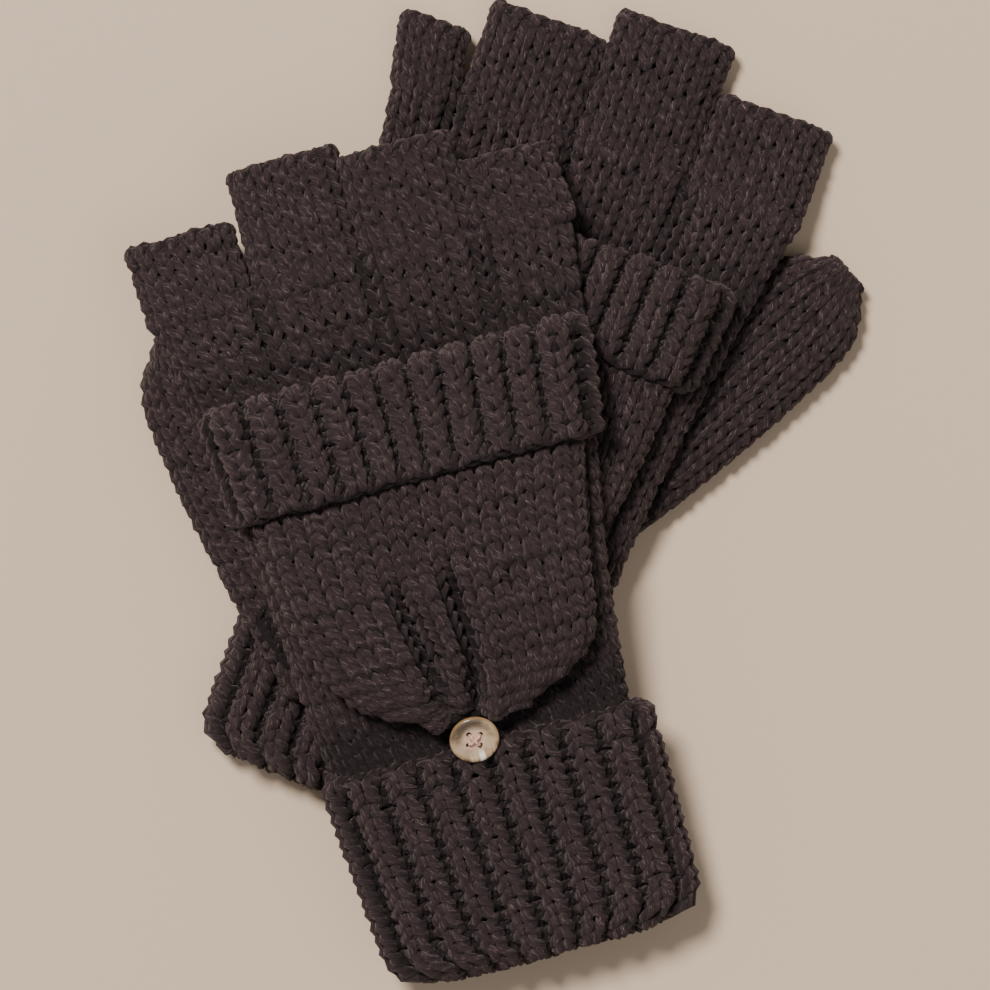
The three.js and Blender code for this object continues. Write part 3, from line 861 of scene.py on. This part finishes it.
def horn(name):
    """Polished horn: cream, clouded grey-brown towards one side, with brown streaks at the other."""
    s = Shader(name)
    disc = s.attribute("disc")
    x, y, _ = s.parts(disc)
    cloud = s.noise(disc, 1.7, 3.0, 0.55)
    warm = s.noise(s.vector(x * 0.6, y * 1.2, 4.0), 2.6, 2.0, 0.5)
    streak_place = s.vector(x * 5.0 + cloud * 1.2, y * 0.8, 1.0)
    streaks = s.noise(streak_place, 1.3, 4.0, 0.6)
    distance = (x * x + y * y) ** 0.5
    smoke = (y * 0.9 - x * 0.3 + cloud * 0.9).between(0.5, 1.25)
    foot = (y * -1.0 + x * 0.15 + cloud * 0.5).between(0.62, 1.0)
    tone = s.mix(warm.between(0.35, 0.68), (0.52, 0.385, 0.24, 1), (0.38, 0.25, 0.14, 1))
    tone = s.mix(smoke * 0.88, tone, (0.06, 0.044, 0.034, 1))
    tone = s.mix(distance.between(0.9, 1.0) * 0.5, tone, (0.5, 0.27, 0.09, 1))
    tone = s.mix(foot * streaks.between(0.42, 0.58), tone, (0.1, 0.045, 0.02, 1))
    pale = foot * (x * 5.0 - 0.6 + cloud).between(0.0, 0.25) * (0.85 - x * 5.0 + cloud).between(0.0, 0.25)
    tone = s.mix(pale, tone, (0.85, 0.76, 0.62, 1))
    tone = s.mix((0.62 - distance).between(0.0, 0.25) * 0.45, tone, (0.9, 0.62, 0.46, 1))
    fine = s.noise(disc, 22.0, 2.0, 0.5)
    return s.finish(
        base_color=tone,
        roughness=fine * 0.12 + 0.22,
        normal=s.bump(fine, 0.02 * MM, 0.4),
        coat_weight=0.25,
        coat_roughness=0.15,
        subsurface_weight=0.1,
        subsurface_radius=(0.004, 0.002, 0.001),
    )


def sewing_thread(name, dark, light):
    s = Shader(name)
    place = place_in_object(s)
    twist = s.noise(place, 1500.0, 2.0, 0.5)
    tone = s.mix(twist.between(0.35, 0.65), dark, light)
    return s.finish(base_color=tone, roughness=twist * 0.2 + 0.55, normal=s.bump(twist, 0.15 * MM, 0.8))


WOOL_SHADES = ((0.0145, 0.0078, 0.008, 1), (0.041, 0.0243, 0.0246, 1), (0.3, 0.216, 0.212, 1))
# The colour of the painted shade where the yarn lies deepest.
DARKEST_PAINTED_SHADE = (0.005, 0.0019, 0.002, 1)
# depth: the heights between which the painted shade fades out.
WOOL = wool("charcoal_wool", *WOOL_SHADES, depth=(-2.1, 1.3))
RIB_WOOL = wool("charcoal_wool_ribbed", *WOOL_SHADES, depth=(-2.2, 3.4))
# A dark backing under the yarn: painted shade seen between the yarns.
PAINTED_SHADE_BACKING = lining("wool_back_painted_shade", (0.008, 0.006, 0.006, 1), (0.026, 0.02, 0.021, 1))
HORN = horn("polished_horn")
PALE_THREAD = sewing_thread("pale_thread", (0.5, 0.27, 0.2, 1), (0.8, 0.5, 0.4, 1))
DARK_THREAD = sewing_thread("dark_thread", (0.02, 0.014, 0.014, 1), (0.06, 0.045, 0.045, 1))


# ---------- the mittens' pieces ----------


def put(piece, body, slot, *nodes):
    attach(piece, body)
    if nodes:
        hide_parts(*nodes)
    return piece


def counts(fabric, wale, course):
    """Whole numbers of stitches round a fabric and rows along it."""
    round_count = max(8, int(round(fabric.girth() / wale / 2)) * 2)
    return round_count, max(2, int(round(fabric.length() / course)))


def ends_of(node, axes):
    """A node's lowest and highest place along its own axis."""
    along = axes.into(node_triangles(node))[:, :, 1]
    return float(along.min()), float(along.max())


def placed(grid, axes, closed=True):
    return Fabric(axes.out(grid.reshape(-1, 3)).reshape(grid.shape), closed)


def knit_tube(name, node, fabric, rib=False, edge=None, depth=WALL_DEPTH, sink=None, first=0):
    """Yarn and wall of one knitted tube, with a cast-off chain if an edge is given."""
    wale, course = (RIB_WALE, RIB_COURSE) if rib else (WALE, COURSE)
    wales, rows = counts(fabric, wale, course)
    yarns = knit_rows(fabric, wales, rows, rib, sink, first)
    if edge:
        yarns += bound_edge(fabric, wales, *edge)
    body, slot = BODY_OF[node], "rib" if rib else "knit"
    yarn = spun(name, yarns, RIB_WOOL, RIB_YARN) if rib else spun(name, yarns, WOOL)
    put(yarn, body, slot, node)
    # The dark wall under the yarn is painted shade.
    put(shell(name + "_lining", fabric, PAINTED_SHADE_BACKING, depth, WALL), body, slot)


def rounder(grid):
    """The grid of a flat tube made thinner towards its two edges."""
    grid = grid.copy()
    low, high = grid.min(axis=1, keepdims=True), grid.max(axis=1, keepdims=True)
    middle = (low + high) / 2
    share = np.abs((grid - middle) / (high - middle + 1e-9))[..., 0]
    grid[:, :, 2] = middle[:, :, 2] + (grid[:, :, 2] - middle[:, :, 2]) * (1 - EDGE_DROP * share**3)
    return grid


def valleys(side, axes, fabric):
    """How far the hand dips between the fingers, from their roots down."""
    feet = []
    for finger in FINGERS:
        points = axes.into(node_triangles(f"{side}_{finger}_stub")).reshape(-1, 3)
        low = points[:, 1].min()
        foot = points[points[:, 1] < low + STUB_FOOT, 0]
        feet.append((foot.min(), foot.max(), low))
    feet.sort()
    at = axes.into(fabric.grid)
    height = np.zeros(at.shape[:2])
    deep, wide, long = VALLEY
    for a, b in zip(feet, feet[1:]):
        root = max(a[2], b[2])
        fade = np.clip((at[..., 1] - root + long) / long, 0, 1) ** 0.8
        height -= deep * fade * np.exp(-(((at[..., 0] - (a[1] + b[0]) / 2) / wide) ** 2))
    height *= np.clip(np.abs(fabric.normals[..., 2]) * 1.6 - 0.3, 0, 1)
    root = np.mean([foot[2] for foot in feet])
    return height + STUB_SWELL * np.clip((at[..., 1] - root + STUB_BLEND) / STUB_BLEND, 0, 1)


def build_hand(side, axes):
    node = f"{side}_hand_shell"
    fabric = placed(tube_grid(node, axes), axes)
    seam_low, seam_high = ends_of(f"{side}_hood_seam", axes)
    low, high = ends_of(node, axes)
    height = valleys(side, axes, fabric)
    fabric = fabric.raised(height)
    along = axes.into(fabric.grid)[..., 1]
    # Painted shade in the valleys between the fingers, a painted shadow below the hood's tip, and painted shade
    # beside the seam.
    deep, wide = HOOD_PAINTED_SHADOW
    tip = ends_of(f"{side}_hood_pocket", axes)[0] - 0.4 * wide
    fabric.painted_shade = VALLEY_PAINTED_SHADE * height + deep * np.exp(-(((along - tip) / wide) ** 2))
    deep, wide = SEAM_PAINTED_SHADE
    fabric.painted_shade += deep * np.exp(-(((along - seam_high) / wide) ** 2))
    knit_tube(f"{side}_hand", node, fabric)
    v = ((seam_low + seam_high) / 2 - RIM_TRIM[side][1] - SEAM_TUCK - low) / (high - low)
    base = fabric.raised(SEAM_LIFT)
    coil = bound_edge(base, SEAM_STITCHES, v, 0.0, rise=1.4, swell=1.2, u_span=SEAM_SPAN)
    seam = spun(f"{side}_hood_stitching", coil, WOOL, radius=SEAM_YARN, sides=5, closed=False)
    put(seam, f"{side}_mitten", "thread", f"{side}_hood_seam")


def build_stubs(side, axes):
    for finger in FINGERS:
        node = f"{side}_{finger}_stub"
        grid = rounder(tube_grid(node, axes, -STUB_REACH))
        fabric = placed(grid, axes).raised(STUB_SWELL)
        knit_tube(f"{side}_{finger}_finger", node, fabric, edge=STUB_EDGE, first=-1)


def build_thumb(side, axes):
    own = thumb_axes(side, axes.mirror)
    node = f"{side}_thumb_sleeve"
    grid = rounded_end(spread_out(node, tube_grid(node, own)), **THUMB_END)
    knit_tube(f"{side}_thumb_knit", node, placed(grid, own))


def tucked(grid, corner):
    """Rounds the two corners of a flat tube at its last row."""
    grid = grid.copy()
    middle = (grid[:, :, 0].min(axis=1) + grid[:, :, 0].max(axis=1)) / 2
    half = (grid[:, :, 0].max(axis=1) - grid[:, :, 0].min(axis=1)) / 2
    near = np.clip(1 - np.abs(grid[:, 0, 1] - grid[-1, 0, 1]) / corner, 0, 1)
    inset = corner * (1 - np.sqrt(1 - near**2 * 0.96))
    grid[:, :, 0] = middle[:, None] + (grid[:, :, 0] - middle[:, None]) * (1 - inset / half)[:, None]
    return grid


def build_cuff(side, axes):
    node = f"{side}_cuff_inner"
    inner = placed(tube_grid(node, axes), axes)
    deep = {"sink": INNER_CUFF_SINK, "depth": INNER_CUFF_DEPTH}
    knit_tube(f"{side}_cuff_lining_knit", node, inner, rib=True, **deep)
    node = f"{side}_cuff_turnback"
    flat = spread_out(node, tube_grid(node, axes)[::-1])
    folded = rolled(placed(tucked(flat, CUFF_CORNER), axes), CUFF_ROLL)
    knit_tube(f"{side}_cuff", node, folded, rib=True, edge=FOLD_EDGE, depth=CUFF_DEPTH)


def pleats(axes, fabric, tip_y, length):
    """How far the hood's upper side dips into its pleats and swells beside them."""
    at = axes.into(fabric.grid)
    x, y = at[..., 0] / length, (at[..., 1] - tip_y) / length
    upper = np.clip(fabric.normals[..., 2] * 2 + 0.2, 0, 1)
    height = HOOD_CROWN * np.exp(-(((x + 0.02) / 0.3) ** 2) - ((y - 0.22) / 0.2) ** 2)
    share, apart = PLEAT_SWELL
    for line, depth, width in PLEATS:
        xs, ys = np.array(line)[::-1].T
        centre = np.interp(y, ys, xs)
        fade = np.clip((ys[-1] + 0.04 - y) / 0.08, 0, 1) * np.clip((y - ys[0] + 0.04) / 0.05, 0, 1)
        away = np.abs(x - centre) / width
        height += fade * depth * (share * np.exp(-((away - apart) ** 2)) - np.exp(-(away**2)))
    # A shallow tuck runs across above the pleats.
    height -= TUCK_DEPTH * np.exp(-(((y - 0.405 - x * 0.1) / 0.018) ** 2) - (((x + 0.1) / 0.09) ** 4))
    return height * upper


def build_hood(side, axes):
    """Knits the hood and returns its grid, from its mouth to its tip."""
    node = f"{side}_hood_pocket"
    grid = spread_out(node, tube_grid(node, axes, END_GAP + RIM_TRIM[side][1])[::-1])
    tip_y, mouth_y = ends_of(node, axes)
    # Turned end for end while its tip is closed.
    closed = rounded_end(grid * (1, -1, 1), **HOOD_END) * (1, -1, 1)
    fabric = placed(closed, axes)
    height = pleats(axes, fabric, tip_y, mouth_y - tip_y)
    fabric = fabric.raised(height)
    # Painted shade in the pleats' grooves.
    fabric.painted_shade = np.minimum(height, 0.0) * PLEAT_PAINTED_SHADE
    knit_tube(f"{side}_hood_knit", node, fabric)
    return grid


def build_rim(side, axes, grid):
    """Knits the band that is turned back over the hood's mouth, on the hood's grid."""
    name, band = f"{side}_hood_pocket", f"{side}_hood_rim_band"
    inner, outer = RIM_TRIM[side]
    low, high = ends_of(band, axes)
    out = (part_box(band)[1][2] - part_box(name)[1][2]) / MM
    mouth, tip = grid[0, 0, 1], grid[-1, 0, 1]
    first = max(mouth - high + outer, 0.0) / (mouth - tip)
    last = (mouth - low - inner) / (mouth - tip)
    strip = placed(grid, axes).part(first, last)
    columns = strip.grid.shape[1]
    pick = np.arange(-RIM_WRAP, columns // 2 + RIM_WRAP + 1) % columns
    raised = strip.grid[:, pick] + strip.normals[:, pick] * out
    rim = rolled(Fabric(raised[::-1], closed=False), RIM_ROLL)
    wales = int(round(rim.girth() / RIB_WALE / 2)) * 2 + 1
    rows = int(round(rim.length() / RIB_COURSE))
    yarns = knit_rows(rim, wales, rows, rib=True) + bound_edge(rim, wales, *FOLD_EDGE)
    put(spun(f"{side}_hood_rim", yarns, RIB_WOOL, RIB_YARN, closed=False), BODY_OF[band], "rib", band)
    # The dark lining of painted shade follows the ribs, so that the rim is ribbed on its inside too.
    place = np.linspace(0, wales, rim.grid.shape[1])
    ribs = np.broadcast_to(RIB_RELIEF * np.cos(np.pi * (place - 0.5)), rim.grid.shape[:2])
    lining = shell(f"{side}_hood_rim_lining", rim.raised(ribs), PAINTED_SHADE_BACKING, RIB_SINK, RIM_WALL)
    put(lining, BODY_OF[band], "rib")


def button_measures(side, axes):
    """The button's centre, its turn (rows across, up and out), its radius and half its thickness."""
    points = node_triangles(f"{side}_button").reshape(-1, 3)
    centre = np.array(JOINTS[f"{side}_button_tilt"]["pos_m"]) / MM
    flat = np.linalg.svd(points - points.mean(axis=0), full_matrices=False)[2][2]
    flat = flat if flat[2] > 0 else -flat
    across = np.cross(axes.y, flat)
    across /= np.linalg.norm(across)
    turn = np.stack([across, np.cross(flat, across), flat])
    own = (points - centre) @ turn.T
    return centre, turn, float(np.hypot(own[:, 0], own[:, 1]).max()), float(own[:, 2].max())


def turned_disc(radius, half):
    """Points and faces of the button's profile turned round its axis."""
    profile = [(r * radius, z * half) for r, z in BUTTON_PROFILE]
    angle = 2 * math.pi * np.arange(BUTTON_STEPS) / BUTTON_STEPS
    rows = [
        np.stack([r * np.cos(angle), r * np.sin(angle), np.full(BUTTON_STEPS, z)], axis=1)
        for r, z in profile[1:-1]
    ]
    points = np.concatenate([[[0, 0, profile[0][1]]], *rows, [[0, 0, profile[-1][1]]]])
    pairs = [(k, (k + 1) % BUTTON_STEPS) for k in range(BUTTON_STEPS)]
    faces = [(0, 1 + b, 1 + a) for a, b in pairs]
    for j in range(len(rows) - 1):
        low = 1 + j * BUTTON_STEPS
        high = low + BUTTON_STEPS
        faces += [(low + a, low + b, high + b, high + a) for a, b in pairs]
    last = len(points) - 1
    top = last - BUTTON_STEPS
    return points, faces + [(top + a, top + b, last) for a, b in pairs]


def drilled(disc, name):
    """The disc with its four holes, on a new object."""
    drills = []
    for k in range(4):
        angle = math.pi / 2 * k + HOLE_TURN
        spot = Vector((HOLE_OFFSET * math.cos(angle), HOLE_OFFSET * math.sin(angle), 0)) * MM
        bpy.ops.mesh.primitive_cylinder_add(
            vertices=HOLE_SIDES, radius=HOLE_RADIUS * MM, depth=DRILL_LENGTH * MM, location=spot
        )
        drills.append(bpy.context.object)
        cut = disc.modifiers.new("hole", "BOOLEAN")
        cut.object = drills[-1]
        cut.operation = "DIFFERENCE"
        cut.solver = "EXACT"
    piece = finished(disc, name)
    for drill in drills:
        bpy.data.objects.remove(drill)
    return piece


def build_button(side, axes):
    centre, turn, radius, half = button_measures(side, axes)
    disc = link(f"{side}_button_blank", new_mesh("disc", *turned_disc(radius, half)))
    piece = drilled(disc, f"{side}_horn_button")
    mesh = piece.data
    local = np.empty(len(mesh.vertices) * 3, np.float32)
    mesh.vertices.foreach_get("co", local)
    local = local.reshape(-1, 3)
    store(mesh, "disc", "FLOAT_VECTOR", local / (radius * MM))
    mesh.vertices.foreach_set("co", (local @ turn + centre * MM).astype(np.float32).ravel())
    mesh.update()
    mesh.materials.clear()
    mesh.materials.append(HORN)
    smooth_faces(mesh)
    mesh.set_sharp_from_angle(angle=CREASE)
    put(piece, f"{side}_button_disc", "horn", f"{side}_button")
    build_button_thread(side, centre, turn, half)
    for small in ("button_shank", "button_loop"):
        frame["nodes"][f"{side}_{small}"].data.materials.clear()
        frame["nodes"][f"{side}_{small}"].data.materials.append(DARK_THREAD)


def build_button_thread(side, centre, turn, half):
    """Two crossed bars of thread that dive into the button's holes."""
    lift, more = BAR_LIFT
    steep, dive = BAR_DIVE
    share = np.linspace(-1, 1, BAR_POINTS)
    bars = []
    for k in range(2):
        angle = math.pi / 2 * k + HOLE_TURN
        high = half * 0.5 + lift + more * k - steep * np.clip(np.abs(share) - dive, 0, 1)
        reach = np.clip(np.abs(share) / 0.8, 0, 1) * np.sign(share) * (HOLE_OFFSET - BAR_INSET)
        line = np.stack([reach * math.cos(angle), reach * math.sin(angle), high], axis=1)
        bars.append(Yarn(line @ turn + centre, np.zeros(BAR_POINTS), np.tile(turn[2], (BAR_POINTS, 1))))
    thread = spun(f"{side}_button_thread", bars, PALE_THREAD, radius=BAR_THREAD, sides=8, closed=False)
    put(thread, f"{side}_button_disc", "thread", f"{side}_button_stitches")


for side in SIDES:
    axes = mitten_axes(side)
    build_hand(side, axes)
    build_stubs(side, axes)
    build_thumb(side, axes)
    build_cuff(side, axes)
    build_rim(side, axes, build_hood(side, axes))
    build_button(side, axes)


# ---------- floor, light and camera ----------

FLOOR_SHADE = (0.678, 0.522, 0.386, 1)
FLOOR_REACH = 4000.0
FLOOR_HEIGHT = -1.5  # below the knitting that bulges under the solids
SKY_SHADE = (1.0, 0.975, 0.95, 1)
SKY_STRENGTH = 0.26
CAMERA_PLACE = (-0.0003, -0.0017, 1.75)
SENSOR = 36
SEEN = 0.2772  # width of the view at the object's middle height


def build_floor():
    turns = ((-1, -1), (1, -1), (1, 1), (-1, 1))
    corners = [(x * FLOOR_REACH, y * FLOOR_REACH, FLOOR_HEIGHT) for x, y in turns]
    floor = link("floor", new_mesh("floor", corners, [(0, 1, 2, 3)]))
    s = Shader("plain_floor")
    grain = s.noise(place_in_object(s), 900.0)
    tone = s.mix(grain * 0.1, FLOOR_SHADE, tuple(0.97 * c for c in FLOOR_SHADE[:3]) + (1,))
    finish = s.finish(base_color=tone, roughness=grain * 0.05 + 0.9, specular_ior_level=0.1)
    floor.data.materials.append(finish)


def area_light(name, place, target, size, power, colour=(1, 1, 1)):
    data = bpy.data.lights.new(name, "AREA")
    data.shape = "DISK"
    data.size = size
    data.energy = power
    data.color = colour
    lamp = bpy.data.objects.new(name, data)
    lamp.location = place
    lamp.rotation_euler = (Vector(target) - Vector(place)).to_track_quat("-Z", "Y").to_euler()
    bpy.context.scene.collection.objects.link(lamp)


def build_light():
    area_light("key", (-1.15, 1.6, 3.8), (0, 0, 0), 1.1, 228, (1.0, 0.968, 0.938))
    area_light("fill", (1.8, -1.2, 3.6), (0, 0, 0), 3.0, 26, (0.96, 0.98, 1.0))
    world = bpy.data.worlds.new("studio")
    world.use_nodes = True
    world.node_tree.nodes["Background"].inputs["Color"].default_value = SKY_SHADE
    world.node_tree.nodes["Background"].inputs["Strength"].default_value = SKY_STRENGTH
    bpy.context.scene.world = world


def build_camera():
    focus = (CAD_BOX[0][2] + CAD_BOX[1][2]) / 2
    data = bpy.data.cameras.new("camera")
    data.type = "PERSP"
    data.sensor_width = SENSOR
    data.lens = SENSOR * (CAMERA_PLACE[2] - focus) / SEEN
    data.clip_end = 10
    camera = bpy.data.objects.new("camera", data)
    camera.location = CAMERA_PLACE
    bpy.context.scene.collection.objects.link(camera)
    bpy.context.scene.camera = camera


build_floor()
build_light()
build_camera()
